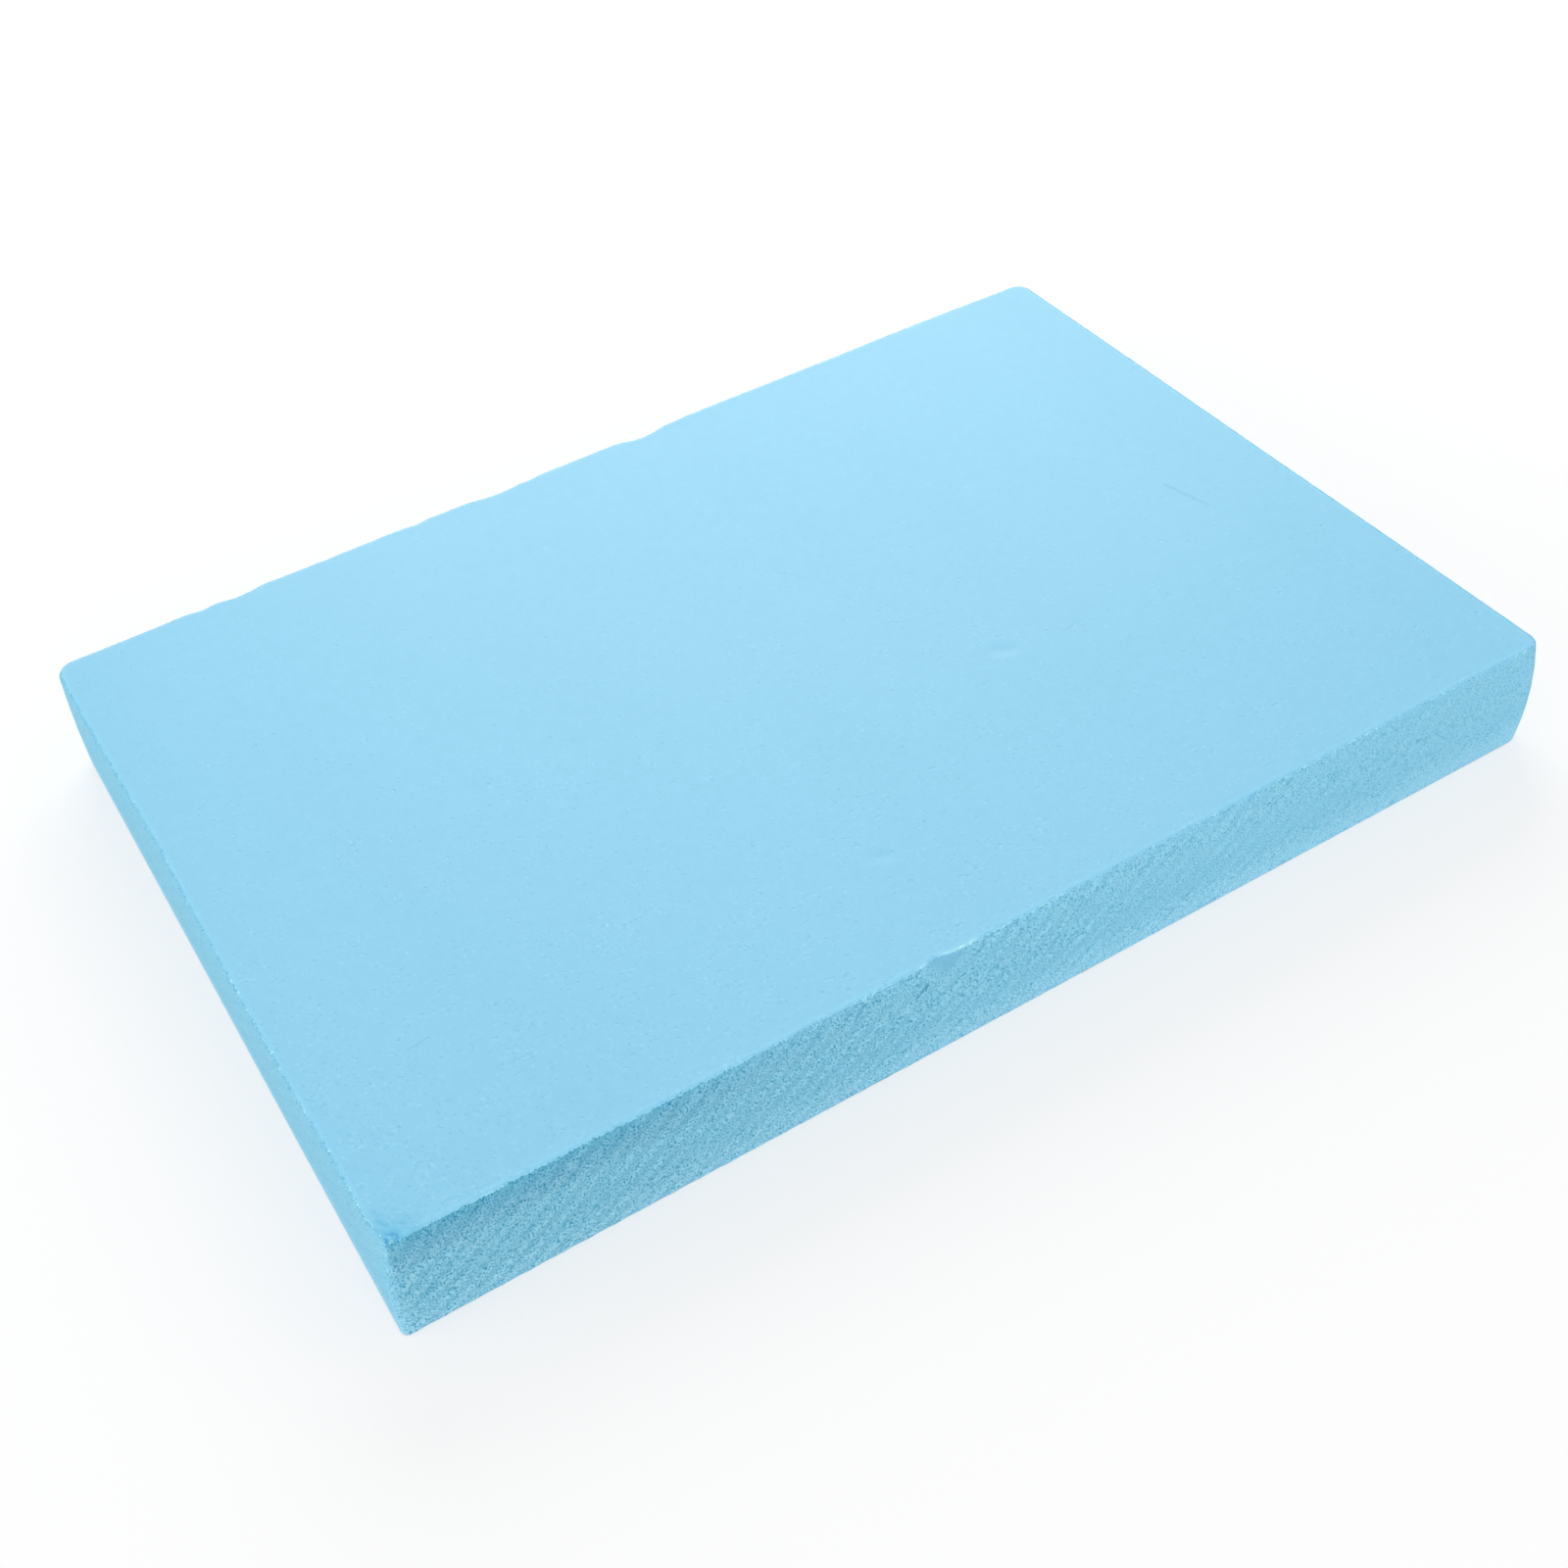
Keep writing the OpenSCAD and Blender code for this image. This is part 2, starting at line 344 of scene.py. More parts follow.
def cutRelief(coarse, groove):
    # The grooves, and value noise of two sizes, fading out at the foot and at the rim
    rough = softNoise(wall, cell=2.1, seed=4) + 0.8 * softNoise(wall, cell=1.2, seed=5)
    relief = wear["grooveDepth"] * groove + wear["unevenness"] * coarse * rough
    return relief * smoothStep(0, 0.5, np.minimum(wallHeight, 1.5 * drop))


def brokenEdge(coarse):
    # The skin's ragged edge: value noise of two sizes along the rim, and bites where slower
    # noise passes a threshold. All fade down from the top, and are less where the cut is fine
    along = wall * (1, 1, 0.2)
    ragged = softNoise(along, cell=1.1, seed=6) + 0.9 * softNoise(along, cell=2.8, seed=7)
    slower = softNoise(along, cell=1.9, seed=9) + 0.25 * softNoise(along, cell=11, seed=10)
    crumble = wear["rimCrumble"] * ragged - wear["rimBites"] * smoothStep(0.45, 0.85, slower)
    coarseShare = np.minimum(1, coarse / wear["coarseness"][-1] + 0.25 * isFront)
    return crumble * np.exp(-drop / wear["rimReach"]) * (0.25 + 0.75 * coarseShare)


def standingSlivers():
    # How far the slivers of skin stand up, and where they get a painted highlight: the square root
    # of a hump along the front, with soft noise on it, times a hump over the middle of the rim's rows
    rimRow = np.arange(len(wall))[:, None] - (len(wall) - 2 - slab["rimSteps"] / 2)
    lift, shown = 0, 0
    for start, end, height in wear["slivers"]:
        along = isFront * hump((2 * wallX - start - end) / (end - start)) ** 0.5
        along = along * (0.65 + 0.5 * softNoise(wall, cell=0.9, seed=8))
        lift = lift + height * along * hump(rimRow / 2.5)
        shown = shown + along * smoothStep(0, 0.6, hump(rimRow / 2))
    return lift, shown


scoop = pressedScoop()
coarse = howCoarse(scoop)
groove = slantedGrooves(coarse)
sliverLift, sliverHighlight = standingSlivers()
normal, level = wallDirections()
wornWall = (wall + normal * cutRelief(coarse, groove)[..., None]
            + level * brokenEdge(coarse)[..., None])
wornWall[..., 2] += sliverLift
wornWall = fromCorner(wornWall, 1)
print("slab: wall of", *wornWall.shape[:2], "points")


# The skins: grids inside the rings

def fillGrid(ring, across, up):
    # Transfinite (Coons) patch inside a closed ring of 2 (across + up) points, which starts at
    # the front left corner: straight blends of opposite edges, less the blend of the corners
    front = ring[:across + 1]
    right = ring[across:across + up + 1]
    back = ring[across + up:2 * across + up + 1][::-1]
    left = np.concatenate([ring[2 * across + up:], ring[:1]])[::-1]
    u = np.linspace(0, 1, across + 1)[None, :, None]
    v = np.linspace(0, 1, up + 1)[:, None, None]
    corners = ((1 - u) * (1 - v) * front[0] + u * (1 - v) * front[-1]
               + (1 - u) * v * back[0] + u * v * back[-1])
    return (1 - v) * front + v * back + (1 - u) * left[:, None] + u * right[:, None] - corners


def gridRim(across, up):
    # Positions of a grid's edge points in its flat list, walked like the ring
    index = np.arange((across + 1) * (up + 1)).reshape(up + 1, across + 1)
    return np.concatenate([index[0, :-1], index[:-1, -1], index[-1, :0:-1], index[:0:-1, 0]])


def walkedRound(ring):
    # Distance walked to each point of a closed ring, and at last back to its start
    return np.append(0, np.linalg.norm(np.roll(ring, -1, 0) - ring, axis=-1).cumsum())


def ringCorners(counts):
    # Positions of the corners' middles in a ring that starts at one of them
    return np.append(0, np.cumsum(counts))


sideCounts = [steps + cornerSteps for steps in wallSteps]


def skinGrid(cells, height):
    # A flat grid inside the rims. Its ring is spaced evenly from the middle of one corner to
    # that of the next
    count = (1, ringCount)
    ring = fromCorner(ringOutline(wallSteps, np.full(count, height),
                                  np.full(count, slab["skinInset"]))[0])
    walked = walkedRound(ring)
    corners = walked[ringCorners(sideCounts)]
    places = np.concatenate([k + np.arange(cells[k % 2]) / cells[k % 2] for k in range(4)])
    places = np.interp(places, np.arange(5), corners)
    ring = np.append(ring, ring[:1], axis=0)
    even = np.stack([np.interp(places, walked, ring[:, axis]) for axis in range(2)], -1)
    flat = fillGrid(even, *cells)
    return np.concatenate([flat, np.full(flat.shape[:2] + (1,), height)], -1)


def skinRelief(x, y):
    # Long low waves, plus the dents: a hump of the distance from the middle in half lengths
    # and half widths, with a faint raised lip. All are fainter near the rims
    points = np.stack([x, y, 0 * x], -1)
    height = wear["skinWaves"] * (softNoise(points, cell=37, seed=11)
                                  + 0.35 * softNoise(points, cell=9, seed=12))
    lipShare, lipPlace, lipHalf = wear["dentLip"]
    for placeX, placeY, turn, halfLong, halfWide, depth in wear["dents"]:
        c, s = math.cos(math.radians(turn)), math.sin(math.radians(turn))
        apart = np.hypot(((x - placeX) * c + (y - placeY) * s) / halfLong,
                         ((y - placeY) * c - (x - placeX) * s) / halfWide)
        height = height - depth * (hump(apart) - lipShare * hump((apart - lipPlace) / lipHalf))
    inside = np.minimum(boxHalf[0] - np.abs(x), boxHalf[1] - np.abs(y))
    return height * (0.3 + 0.7 * smoothStep(0, 6, inside))


topGrid = skinGrid(slab["topCells"], thickness)
topGrid[..., 2] += skinRelief(topGrid[..., 0], topGrid[..., 1])
underGrid = skinGrid(slab["underCells"], 0)


# One closed mesh

def quads(index):
    # Faces of a grid of vertex numbers, counter-clockwise for columns onward and rows upward
    return np.stack([index[:-1, :-1], index[:-1, 1:], index[1:, 1:], index[1:, :-1]],
                    -1).reshape(-1, 4)


def stitch(points, outer, outerCounts, inner, innerCounts):
    # A strip of triangles between two rings, one for each step of either ring. A step's
    # triangle reaches the other ring's point that has as many steps behind it as there are
    # on that ring before the middle of this step. Both are measured from corner to corner
    def middles(ring, counts):
        walked = walkedRound(points[ring, :2])
        places = np.interp(walked, walked[ringCorners(counts)], np.arange(5))
        return (places[1:] + places[:-1]) / 2

    outerMiddle, innerMiddle = middles(outer, outerCounts), middles(inner, innerCounts)
    reachIn = np.searchsorted(innerMiddle, outerMiddle, "left") % len(inner)
    reachOut = np.searchsorted(outerMiddle, innerMiddle, "right") % len(outer)
    return np.concatenate([np.stack([outer, np.roll(outer, -1), inner[reachIn]], -1),
                           np.stack([np.roll(inner, -1), inner, outer[reachOut]], -1)])


def numbered(grid, start):
    # The vertex numbers of a grid's points
    return start + np.arange(grid[..., 0].size).reshape(grid.shape[:2])


wallIndex = numbered(wornWall, 0)
topIndex = numbered(topGrid, wallIndex.size)
underStart = wallIndex.size + topIndex.size
underIndex = numbered(underGrid, underStart)
vertices = np.concatenate([part.reshape(-1, 3) for part in (wornWall, topGrid, underGrid)]) * mm
fours = np.concatenate([quads(np.concatenate([wallIndex, wallIndex[:, :1]], axis=1)),
                        quads(topIndex), quads(underIndex)[:, ::-1]])
topStrip = stitch(vertices, wallIndex[-1], sideCounts,
                  topIndex.ravel()[gridRim(*slab["topCells"])], slab["topCells"] * 2)
underStrip = stitch(vertices, wallIndex[0], sideCounts,
                    underIndex.ravel()[gridRim(*slab["underCells"])], slab["underCells"] * 2)
threes = np.concatenate([topStrip, underStrip[:, ::-1]])


def slabMesh():
    # The four-sided faces come first, then the triangles
    loops = np.concatenate([fours.ravel(), threes.ravel()])
    sizes = np.concatenate([np.full(len(fours), 4), np.full(len(threes), 3)])
    made = bpy.data.meshes.new("foamSlab")
    made.vertices.add(len(vertices))
    made.vertices.foreach_set("co", vertices.ravel())
    made.loops.add(len(loops))
    made.loops.foreach_set("vertex_index", loops)
    made.polygons.add(len(sizes))
    made.polygons.foreach_set("loop_start", np.cumsum(sizes) - sizes)
    made.polygons.foreach_set("use_smooth", np.ones(len(sizes), bool))
    made.update(calc_edges=True)
    made.validate()
    return made


def addValues(name, wallValues, topValue=0, underValue=0):
    # A number for each vertex, which the material reads by name
    values = np.zeros(len(vertices), np.float32)
    values[:wallIndex.size] = fromCorner(wallValues, 1).ravel()
    values[wallIndex.size:underStart] = topValue
    values[underStart:] = underValue
    mesh.attributes.new(name, "FLOAT", "POINT").data.foreach_set("value", values)


mesh = slabMesh()
addValues("cut", smoothStep(0, 0.5, wallHeight))
addValues("coarse", coarse)
addValues("groove", groove)
addValues("scoop", scoop)
addValues("skinEdge", fromSkinEdge(), slab["skinInset"] - slab["topRim"][0], -thickness)
addValues("front", cutFront + 0 * wallX)
# where the slivers get a painted highlight
addValues("sliverHighlight", sliverHighlight)
block = bpy.data.objects.new("foam_slab", mesh)
bpy.context.scene.collection.objects.link(block)
print("slab: triangles", 2 * len(fours) + len(threes))


# Materials

class Wire:
    # A socket that takes part in sums: each operation adds one Math node

    def __init__(self, shader, socket):
        self.shader, self.socket = shader, socket

    def math(self, operation, first, second):
        return self.shader.node("ShaderNodeMath", {"operation": operation}, {0: first, 1: second})

    def __add__(self, other):
        return self.math("ADD", self, other)

    def __sub__(self, other):
        return self.math("SUBTRACT", self, other)

    def __mul__(self, other):
        return self.math("MULTIPLY", self, other)

    def __pow__(self, other):
        return self.math("POWER", self, other)

    def __radd__(self, other):
        return self.math("ADD", other, self)

    def __rsub__(self, other):
        return self.math("SUBTRACT", other, self)

    def __rmul__(self, other):
        return self.math("MULTIPLY", other, self)

    def larger(self, other):
        return self.math("MAXIMUM", self, other)

    def step(self, low, high):
        # Smooth step from 0 at low to 1 at high
        return self.shader.node("ShaderNodeMapRange", {"interpolation_type": "SMOOTHSTEP"},
                                {"Value": self, "From Min": low, "From Max": high})

    def stripe(self, place, halfWidth):
        # 1 at the place and 0 from the half width on: a smooth step of the distance squared
        return 1 - ((self - place) ** 2).step(0, halfWidth ** 2)


class Shader:
    # A new node tree of a material or a world

    def __init__(self, owner):
        owner.use_nodes = True
        self.tree = owner.node_tree
        self.tree.nodes.clear()

    def node(self, kind, settings=None, inputs=None, output=0):
        made = self.tree.nodes.new(kind)
        for name, value in (settings or {}).items():
            setattr(made, name, value)
        for name, value in (inputs or {}).items():
            if isinstance(value, Wire):
                self.tree.links.new(value.socket, made.inputs[name])
            else:
                made.inputs[name].default_value = value
        return Wire(self, made.outputs[output]) if len(made.outputs) else made

    def mix(self, share, first, second, blend="MIX"):
        # Mix node for colours; its colour sockets are numbers 6 and 7, and its result is 2
        return self.node("ShaderNodeMix", {"data_type": "RGBA", "blend_type": blend},
                         {0: share, 6: first, 7: second}, 2)

    def tint(self, share, colour, factors):
        # The colour times the factors, as far as the share says
        return self.mix(share, colour, factors, "MULTIPLY")

    def noise(self, place, size, detail=2.0, roughness=0.5):
        # Noise with blobs of about the given size, from -0.5 to 0.5
        raw = self.node("ShaderNodeTexNoise", {}, {"Vector": place, "Scale": 1 / size,
                                                   "Detail": detail, "Roughness": roughness})
        return raw - 0.5

    def value(self, name):
        return self.node("ShaderNodeAttribute", {"attribute_name": name}, {}, "Fac")

    def scaled(self, place, factors):
        return self.node("ShaderNodeVectorMath", {"operation": "MULTIPLY"}, {0: place, 1: factors})


foam = {
    "skin": (0.258, 0.632, 0.860, 1),        # the board's own skin
    "cut": (0.255, 0.607, 0.797, 1),         # cut cells
    # factors on the cut colour
    "bandFine": (0.99, 1.015, 1.035, 1),     # dense foam under the skin, where the cut is fine
    "bandCoarse": (0.66, 0.89, 0.93, 1),     # and where it is coarse
    "footBandAndLight": (1.33, 1.16, 1.12, 1),       # dense foam over the foot, and painted light against the floor's shade there
    "coolPatch": (0.93, 1.00, 1.01, 1),
    "warmPatch": (1.07, 1.00, 0.99, 1),
    "coarseCutShade": (0.823, 0.866, 0.86, 1),    # painted shade on the coarsest stretch, where the cells shade each other and less light falls
    "paintedShadeUnderRim": (0.87, 0.87, 0.90, 1),            # painted shade in a stripe under the top band
    "pitShade": (0.02, 0.48, 0.63, 1),            # painted shade in an open cell
    "crestLight": (1.98, 1.52, 1.37, 1),          # painted light on a cell's wall
    # painted shade inside the slits
    "slitShade": (0.33, 0.56, 0.64, 1),
    "scoop": (0.76, 0.84, 0.88, 1),          # where the skin was pressed in
    "underEdge": (0.66, 0.88, 0.89, 1),      # dense foam close under the skin's edge, and painted shade under it
    # factors on the skin
    # painted light and shade on the two sides of tiny creases
    "shadedCreaseFleck": (0.83, 0.918, 0.945, 1),
    "litCreaseFleck": (1.19, 1.085, 1.055, 1),
    "rimHighlight": (1.025, 1.055, 1.055, 1),    # painted light close to its edge
    "mottle": (0.355, 0.250, 0.220, 0),      # share by which the mottling varies it
    # colours
    "lipGlint": (0.46, 0.92, 1.00, 1),            # painted glints on the skin's torn edge
    # painted highlight on the slivers of skin that stand up
    "sliverHighlight": (0.54, 0.98, 1.00, 1),
    "crumpled": (0.135, 0.540, 0.800, 1),    # skin near the front left corner
    "tip": (0.030, 0.360, 0.660, 1),         # and at its very tip
    # sizes and places in mm
    "cellSize": 0.43,
    "clusterSize": 1.9,                      # of the clusters that the cells tear out in
    "patchSize": 9,                          # of the largest blobs, in the cut and the skin
    "hueSize": 5,
    "mottleSize": 2.6,
    "fleckSize": 1.0,
    "poreSize": 1.6,
    "creaseSize": 1.6,                       # near the front left corner
    "streakSize": 24,                        # across the skin's streaks, which run along Y
    "glintSize": 1.1,
    "grainDepth": 0.07,
    "band": (1.6, 8.0),                      # under the skin, where fine and where coarse
    "foot": 12.0,                            # the foot's band, over the floor
    "paintedShadeUnderRimAt": (5, 5.477),                     # the stripe of painted shade, under the top, and half its width
    "edgeAt": (-0.65, -0.35),                # where the skin ends, on the front and elsewhere
    "edgeRagged": (1.3, 0.7),                # how far cells and clusters shift that
    "lipGlintAt": (0.1, 0.2236),                  # the painted glints on the torn edge, from there, and half its width
    "glintsThin": (85, 140),                 # X where the edge's glints start to thin out, and end
    "tipAt": (1.8, 1.0),                     # in from the front left corner of the box
    "tornFrom": (2, 11),                     # from the tip: all crumpled, and none
    "tipFrom": (1.2, 3.6),                   # and the same of the deepest colour
    # strengths
    "grain": 1.85,                           # contrast of the cells' painted shade and light
    "grooveShade": 0.085,
    "skinRoughness": 0.5,
    "cutRoughness": 0.9,
}

# Slits in the front, along the grooves, painted as shade in colour only: ends in X and Z, half width,
# strength
slits = (
    (-25.9, 24.2, -28.6, 21.6, 0.55, 1.0),
    (14.3, 24.6, 10.0, 21.2, 0.4, 0.5),
    (8.2, 18.4, 5.0, 15.5, 0.35, 0.4),
    (44.7, 9.0, 43.0, 7.3, 0.4, 0.6),
    (40.3, 5.7, 38.0, 3.3, 0.4, 0.5),
    (-41.4, 28.0, -43.6, 25.1, 0.5, 0.7),
    (-38.9, 12.6, -40.7, 10.9, 0.4, 0.6),
    (-13.5, 3.7, -14.2, 3.2, 0.5, 0.6),
    (111.5, 18.7, 111.5, 18.6, 0.6, 0.8),
    (72.0, 28.0, 71.2, 27.4, 0.5, 0.6),
    (63.0, 21.0, 62.3, 20.5, 0.5, 0.5),
)
# Scratches and pits in the top skin: ends in X and Y, half width, strength
scratches = (
    (118.4, -2.1, 121.7, -15.9, 0.5, 0.8),
    (-124.7, -62.5, -120.1, -61.9, 0.5, 0.7),
    (-15.3, -82.1, -15.1, -82.0, 0.7, 0.8),
    (-41.9, -83.5, -41.7, -83.4, 0.6, 0.7),
    (-40.8, -96.6, -40.5, -96.5, 0.6, 0.7),
    (146.7, -57.4, 146.6, -57.9, 0.6, 0.7),
)


def marked(u, v, marks):
    # 1 on any of the marks: the largest of a smooth fall with the distance to each stretch,
    # whose nearest point is at the share t = (p - a).(b - a) / |b - a|^2, kept from 0 to 1
    shader, total = u.shader, None
    for fromU, fromV, toU, toV, halfWidth, strength in marks:
        du, dv = toU - fromU, toV - fromV
        square = du ** 2 + dv ** 2
        offU, offV = u - fromU, v - fromV
        t = shader.node("ShaderNodeClamp", {}, {"Value": offU * (du / square) + offV * (dv / square)})
        apart = (offU - t * du) ** 2 + (offV - t * dv) ** 2
        mark = (1 - apart.step((0.25 * halfWidth) ** 2, halfWidth ** 2)) * strength
        total = mark if total is None else total.larger(mark)
    return total


class FoamShader(Shader):
    # The foam's node tree, with the values that its colours and heights share

    def __init__(self, material):
        super().__init__(material)
        self.place = self.scaled(self.node("ShaderNodeTexCoord", {}, {}, "Object"), (1 / mm,) * 3)
        self.x, self.y, self.z = (self.node("ShaderNodeSeparateXYZ", {}, {0: self.place}, axis)
                                  for axis in range(3))
        self.coarse, self.groove, self.skinEdge, self.front = (
            self.value(name) for name in ("coarse", "groove", "skinEdge", "front"))
        # cells, the clusters that they tear out in, and larger patches
        self.cells = self.noise(self.place, foam["cellSize"], detail=1.0, roughness=0.6)
        self.clusters = self.noise(self.place, foam["clusterSize"], detail=1.0, roughness=0.5)
        self.patches = self.noise(self.place, foam["patchSize"], detail=0.0)
        self.grain = (self.cells + 0.03 * self.clusters) * (1 + 0.25 * self.groove)
        self.coarsest = self.coarse.step(0.58, 1.05)
        self.findEdge()
        self.findSkinMarks()

    def findEdge(self):
        # The cut shows below the skin's ragged edge
        onFront, onRest = foam["edgeAt"]
        byCells, byClusters = foam["edgeRagged"]
        self.fromEdge = (self.skinEdge - (onRest + self.front * (onFront - onRest))
                         + self.cells * byCells + self.clusters * byClusters)
        self.cut = (1 - self.fromEdge.step(-0.12, 0.12)) * self.value("cut")

    def findSkinMarks(self):
        # The skin's mottling, the painted lit and shaded flecks and the dimples, which crowd together
        # in patches and toward the front left, the scratches, and the crumpled front left corner
        self.mottle = self.noise(self.place, foam["mottleSize"], detail=2.0, roughness=0.6)
        specks = self.noise(self.place, foam["fleckSize"], detail=1.0, roughness=0.5)
        pores = self.noise(self.place, foam["poreSize"], detail=1.0, roughness=0.5)
        crowd = self.patches * 0.1 + self.mottle * 0.15 - (self.x * 0.3 + self.y) * 0.0003
        self.dimples = (crowd + pores).step(0.2, 0.32)
        self.litCreaseFleck = (crowd + specks).step(0.15, 0.28)
        self.shadedCreaseFleck = (crowd - specks).step(0.15, 0.28)
        self.scratch = marked(self.x + self.cells, self.y + self.clusters, scratches)
        self.crumple = self.noise(self.place, foam["creaseSize"], detail=1.0, roughness=0.6)
        offX, offY = (wire + (half - inset) for wire, half, inset
                      in zip((self.x, self.y), boxHalf, foam["tipAt"]))
        self.fromTip = (offX * offX + offY * offY) ** 0.5 + self.crumple * 7
        self.torn = 1 - self.fromTip.step(*foam["tornFrom"])

    def cutColour(self):
        # Painted shade where coarse, with the dense foam under the skin and over the foot
        uneven = self.clusters * 2 + self.patches * 3
        fine, deep = foam["band"]
        bandDepth = fine + (deep - fine) * self.coarsest
        topBand = (self.z + uneven * self.coarsest).step(thickness - bandDepth,
                                                         thickness - 0.4 * fine)
        # dense foam over the foot, also painted light that offsets the floor's shade
        footBandAndLight = 1 - (self.z + uneven * 0.4).step(0, foam["foot"])
        bandColour = self.mix(self.coarse.step(0.84, 1.0), foam["bandFine"], foam["bandCoarse"])
        # a stripe of painted shade under the rim, where the cut is coarse
        under, halfWidth = foam["paintedShadeUnderRimAt"]
        paintedShadeUnderRim = self.z.stripe(thickness - under, halfWidth) * self.coarse.step(0.78, 1.0)
        hue = self.mix(self.noise(self.place, foam["hueSize"], detail=1.0) + 0.5,
                       foam["coolPatch"], foam["warmPatch"])
        # dense foam and painted shade close under the skin's edge, where coarse
        underEdge = (self.fromEdge.step(-1.1, -0.3) * self.clusters.step(-0.16, 0.1)
                     * self.coarse.step(0.85, 1.05))
        # painted shade in the cells' pits and painted light on their crests, deeper where coarse
        cellShadingShare = (0.5 + self.grain * self.coarse * foam["grain"] * (1 - 2.6 * self.grain)
                      + self.groove * foam["grooveShade"])
        # painted shade of the slits
        slitShade = marked(self.x + self.cells * 2.0, self.z + self.clusters * 2.4, slits) * self.front
        colour = foam["cut"]
        for share, factors in ((self.coarsest, foam["coarseCutShade"]), (topBand, bandColour),
                               (footBandAndLight, foam["footBandAndLight"]), (paintedShadeUnderRim, foam["paintedShadeUnderRim"]), (1.0, hue),
                               (underEdge, foam["underEdge"]), (self.value("scoop"), foam["scoop"]),
                               (1.0, self.mix(cellShadingShare, foam["pitShade"], foam["crestLight"])),
                               (slitShade, foam["slitShade"])):
            colour = self.tint(share, colour, factors)
        return colour

    def skinColour(self):
        # Faint mottling and streaks, flecks of painted light and shade, painted light near the rims,
        # and the marks
        streaks = self.noise(self.scaled(self.place, (1, 0.15, 1)), foam["streakSize"], detail=0.0)
        shade = 0.5 + self.mottle * 0.15 + streaks * 0.05
        darkest, lightest = (tuple(c * (1 + sign * m) for c, m in zip(foam["skin"], foam["mottle"]))
                             for sign in (-1, 1))
        nearRimHighlight = self.skinEdge.step(-1.5, -0.2) * (1 - self.skinEdge.step(0.2, 1.3))
        colour = self.mix(shade, darkest, lightest)
        for share, factors in ((self.litCreaseFleck, foam["litCreaseFleck"]),
                               (self.shadedCreaseFleck, foam["shadedCreaseFleck"]), (nearRimHighlight, foam["rimHighlight"])):
            colour = self.tint(share, colour, factors)
        colour = self.mix(self.torn * 0.75, colour, foam["crumpled"])
        colour = self.mix(1 - self.fromTip.step(*foam["tipFrom"]), colour, foam["tip"])
        return self.mix(self.scratch * 0.25, colour, foam["crumpled"])

    def colour(self):
        # The cut and the skin, with painted glints where the skin's torn edge catches the light
        glints = (self.noise(self.place, foam["glintSize"], detail=0.0) + self.patches * 0.9
                  - self.x.step(*foam["glintsThin"]) * 0.1)
        lipGlint = (self.fromEdge.stripe(*foam["lipGlintAt"]) * glints.step(0.08, 0.24)
               * (0.7 - 0.3 * self.coarsest))
        colour = self.mix(self.cut, self.skinColour(), self.cutColour())
        colour = self.mix(lipGlint, colour, foam["lipGlint"])
        # painted highlight on the standing slivers
        return self.mix(self.value("sliverHighlight"), colour, foam["sliverHighlight"])

    def lift(self):
        # Heights in metres: cells on the cut faces, dimples and creases on the skin
        onCut = self.coarse * self.grain * (foam["grainDepth"] * 2)
        onSkin = (self.mottle * 0.03 + (self.litCreaseFleck - self.shadedCreaseFleck) * 0.015
                  - self.dimples * 0.08 + self.torn * self.crumple * 0.5 - self.scratch * 0.1)
        return (self.cut * onCut + (1 - self.cut) * onSkin) * mm


def foamMaterial():
    material = bpy.data.materials.new("foamBoard")
    shader = FoamShader(material)
    roughness = foam["skinRoughness"] + shader.cut * (foam["cutRoughness"] - foam["skinRoughness"])
    normal = shader.node("ShaderNodeBump", {},
                         {"Strength": 1.0, "Distance": 1.0, "Height": shader.lift()})
    surface = shader.node("ShaderNodeBsdfPrincipled", {},
                          {"Base Color": shader.colour(), "Roughness": roughness, "Normal": normal,
                           "IOR": 1.5, "Specular IOR Level": 0.5})
    shader.node("ShaderNodeOutputMaterial", {}, {"Surface": surface})
    return material


mesh.materials.append(foamMaterial())

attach(block, "root")
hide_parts("foam_block")
print("slab: material and body set")


# Floor, light and camera, in metres

studio = {
    "floorSize": 6.0,
    "floorGap": 0.0001,                # under the block, so that the two faces don't coincide
    "floor": (0.88, 0.88, 0.88, 1),
    "floorSeen": (1.0, 1.0, 1.0, 1),
    "floorGlow": 0.6,                  # plain white in what the camera sees of the floor
    "glowFrom": (0.45, 1.1),           # distance out, where it rises to all white
    "skyStrength": 0.592,
    # lamps: place, size and power
    "lamps": {
        "sheenLamp": ((0.42, 0.85, 0.5), 1.1, 7.6),
        "leftLamp": ((-0.9, 0.1, 0.3), 0.7, 2.2),
        "frontLamp": ((-0.2, -1.0, 0.25), 0.8, 3.35),
        "rightLamp": ((0.7, -0.5, 0.6), 1.0, 0.7),
    },
}

view = {
    "lens": 47.667,                    # mm, and the sensor's width too
    "sensor": 36,
    "place": (-0.178501, -0.342703, 0.355340),
    "aim": (-0.021696, -0.040206, 0.03),  # the point of the top that it looks at
    "roll": -5.667,                    # degrees, and below 0 it leans to the right
}


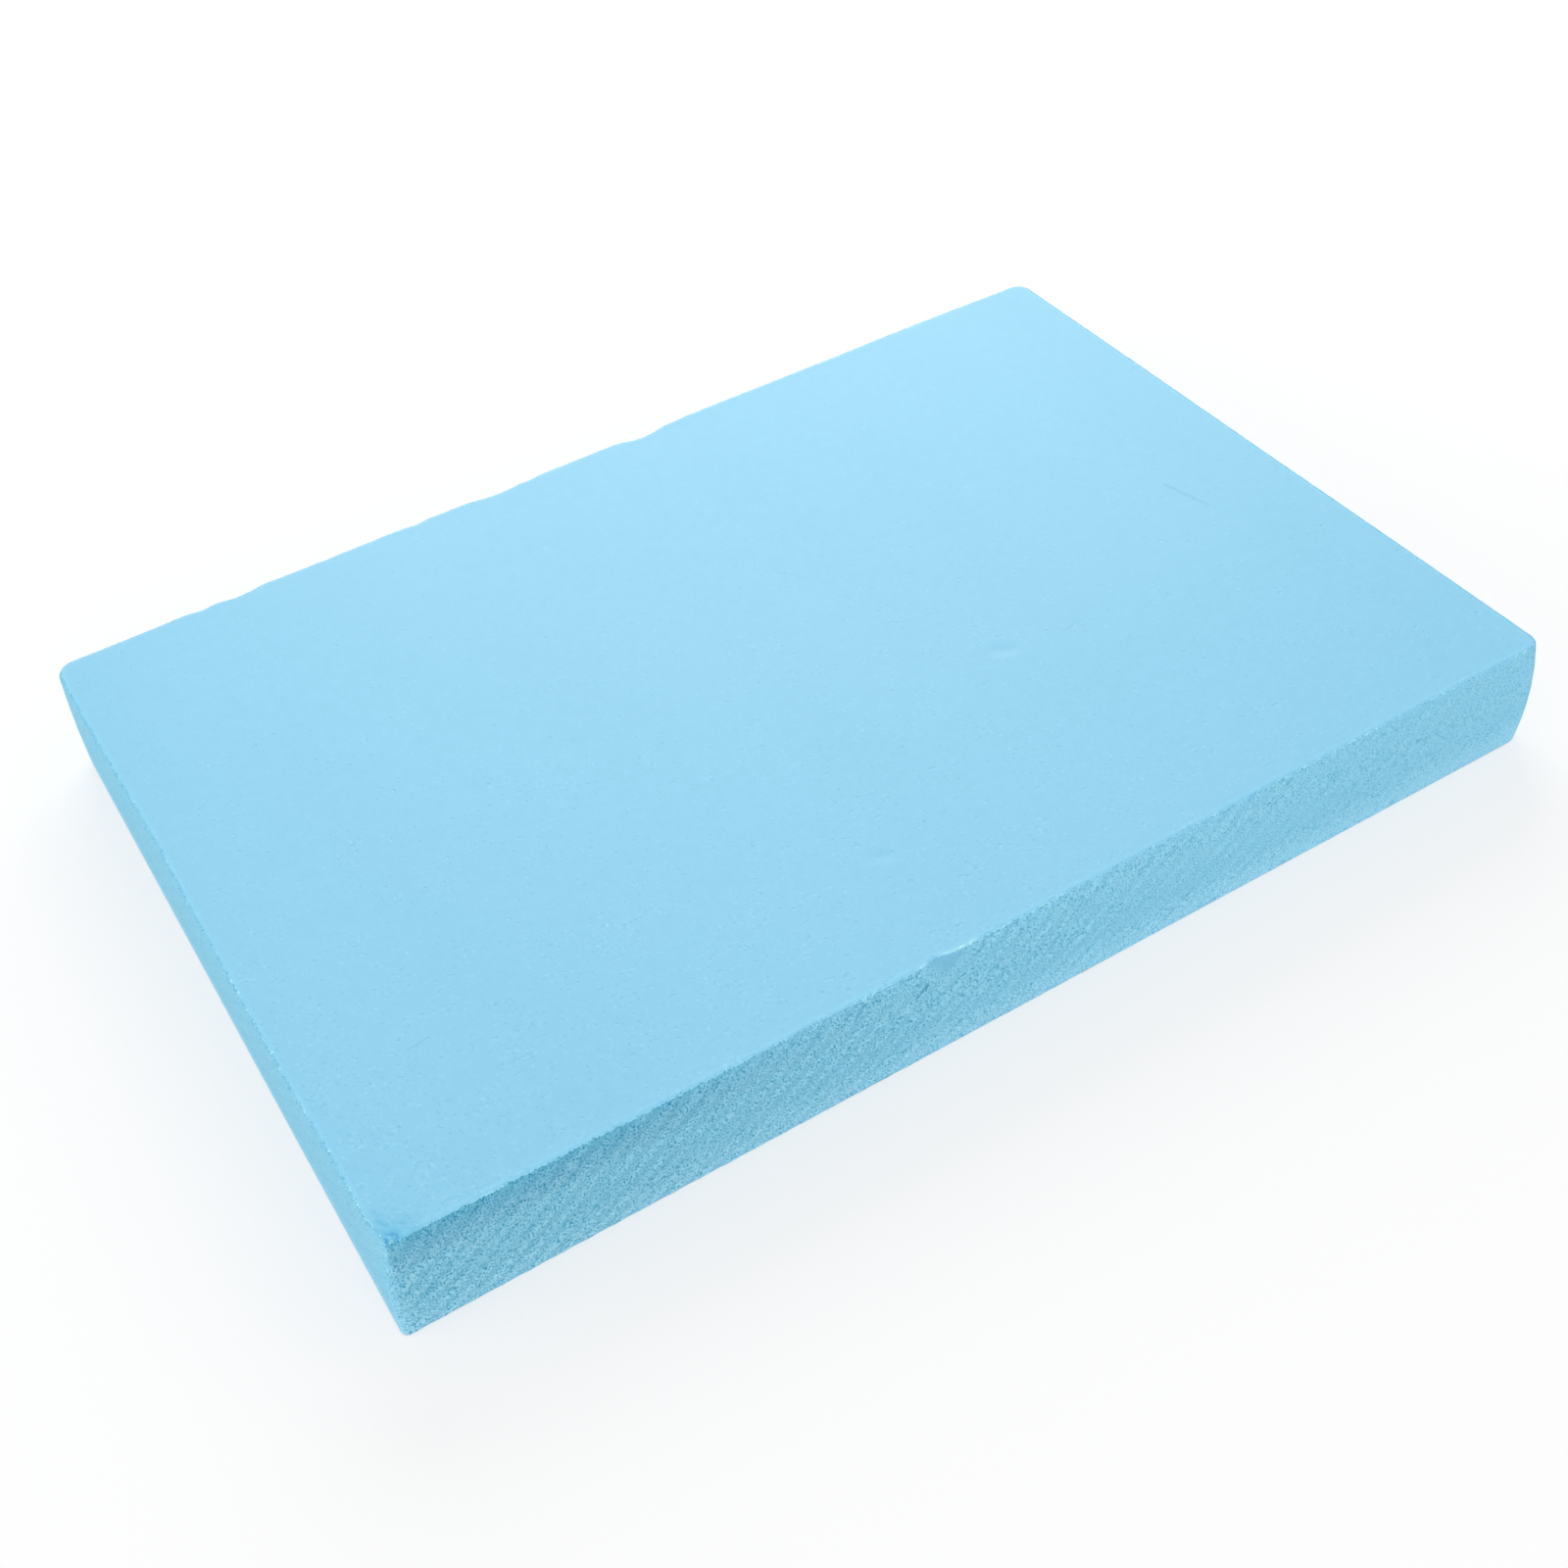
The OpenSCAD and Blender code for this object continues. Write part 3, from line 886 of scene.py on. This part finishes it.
def addFloor():
    size, low = studio["floorSize"] / 2, -studio["floorGap"]
    corners = [(-size, -size, low), (size, -size, low), (size, size, low), (-size, size, low)]
    plane = bpy.data.meshes.new("floor")
    plane.from_pydata(corners, [], [(0, 1, 2, 3)])
    material = bpy.data.materials.new("paleFloor")
    shader = Shader(material)
    seen = shader.node("ShaderNodeLightPath", {}, {}, "Is Camera Ray")
    place = shader.node("ShaderNodeTexCoord", {}, {}, "Object")
    away = shader.node("ShaderNodeVectorMath", {"operation": "LENGTH"}, {0: place}, "Value")
    glow = studio["floorGlow"] + away.step(*studio["glowFrom"]) * (1 - studio["floorGlow"])
    colour = shader.mix(seen, studio["floor"], studio["floorSeen"])
    lit = shader.node("ShaderNodeBsdfPrincipled", {},
                      {"Base Color": colour, "Roughness": 0.9, "Specular IOR Level": 0.0})
    white = shader.node("ShaderNodeEmission", {}, {"Strength": 1.0})
    surface = shader.node("ShaderNodeMixShader", {}, {0: seen * glow, 1: lit, 2: white})
    shader.node("ShaderNodeOutputMaterial", {}, {"Surface": surface})
    plane.materials.append(material)
    floor = bpy.data.objects.new("floor", plane)
    bpy.context.scene.collection.objects.link(floor)


def addSky():
    # An even sky that is plain white to the camera
    world = bpy.data.worlds.new("studio")
    bpy.context.scene.world = world
    shader = Shader(world)
    seen = shader.node("ShaderNodeLightPath", {}, {}, "Is Camera Ray")
    strength = studio["skyStrength"] + seen * (1 - studio["skyStrength"])
    sky = shader.node("ShaderNodeBackground", {}, {"Color": (1, 1, 1, 1), "Strength": strength})
    shader.node("ShaderNodeOutputWorld", {}, {"Surface": sky})


def addLamps():
    # Round lamps that all face the origin
    for name, (place, size, power) in studio["lamps"].items():
        lamp = bpy.data.lights.new(name, "AREA")
        lamp.shape, lamp.size, lamp.energy = "DISK", size, power
        holder = bpy.data.objects.new(name, lamp)
        holder.location = place
        holder.rotation_euler = (-Vector(place)).to_track_quat("-Z", "Y").to_euler()
        bpy.context.scene.collection.objects.link(holder)


def addCamera():
    data = bpy.data.cameras.new("view")
    data.lens, data.sensor_width = view["lens"], view["sensor"]
    data.clip_start, data.clip_end = 0.01, 20
    holder = bpy.data.objects.new("view", data)
    place = Vector(view["place"])
    turn = (Vector(view["aim"]) - place).to_track_quat("-Z", "Y").to_matrix().to_4x4()
    roll = Matrix.Rotation(math.radians(view["roll"]), 4, "Z")
    holder.matrix_world = Matrix.Translation(place) @ turn @ roll
    bpy.context.scene.collection.objects.link(holder)
    bpy.context.scene.camera = holder


addFloor()
addSky()
addLamps()
addCamera()
bpy.context.scene.view_settings.view_transform = "Standard"
print("studio: floor, sky, lamps and camera set")
